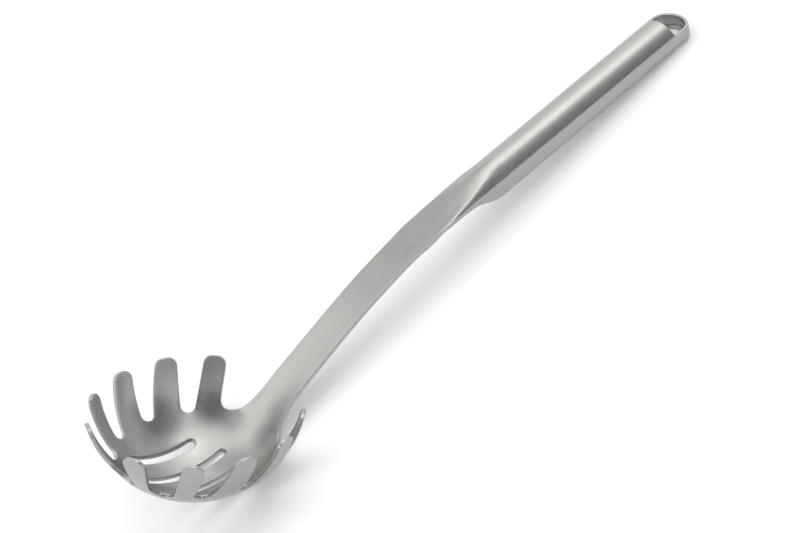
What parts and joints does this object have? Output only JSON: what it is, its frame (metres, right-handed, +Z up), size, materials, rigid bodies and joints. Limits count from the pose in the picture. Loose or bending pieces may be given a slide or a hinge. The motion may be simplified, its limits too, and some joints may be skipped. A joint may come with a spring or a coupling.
{
  "type": "pasta server",
  "caption": "Spaghetti server: slotted round bowl with rounded tines, flat curved neck and a hollow domed grip ending in a hanging eye, all brushed stainless steel.",
  "frame": {"origin": "centre of the bounding box's base, on the table that the server lies on", "axes": "+X along the server from the bowl to the hanging eye, +Z up from the table, +Y to the left seen from the bowl"},
  "size_m": [0.32, 0.0832, 0.0525],
  "materials": {
    "satin_steel": "satin, brushed along the server"
  },
  "bodies": {
    "root": {"head_and_neck": "satin_steel", "grip_upper_shell": "satin_steel", "grip_lower_shell": "satin_steel", "grip_end_plate": "satin_steel"}
  },
  "joints": []
}
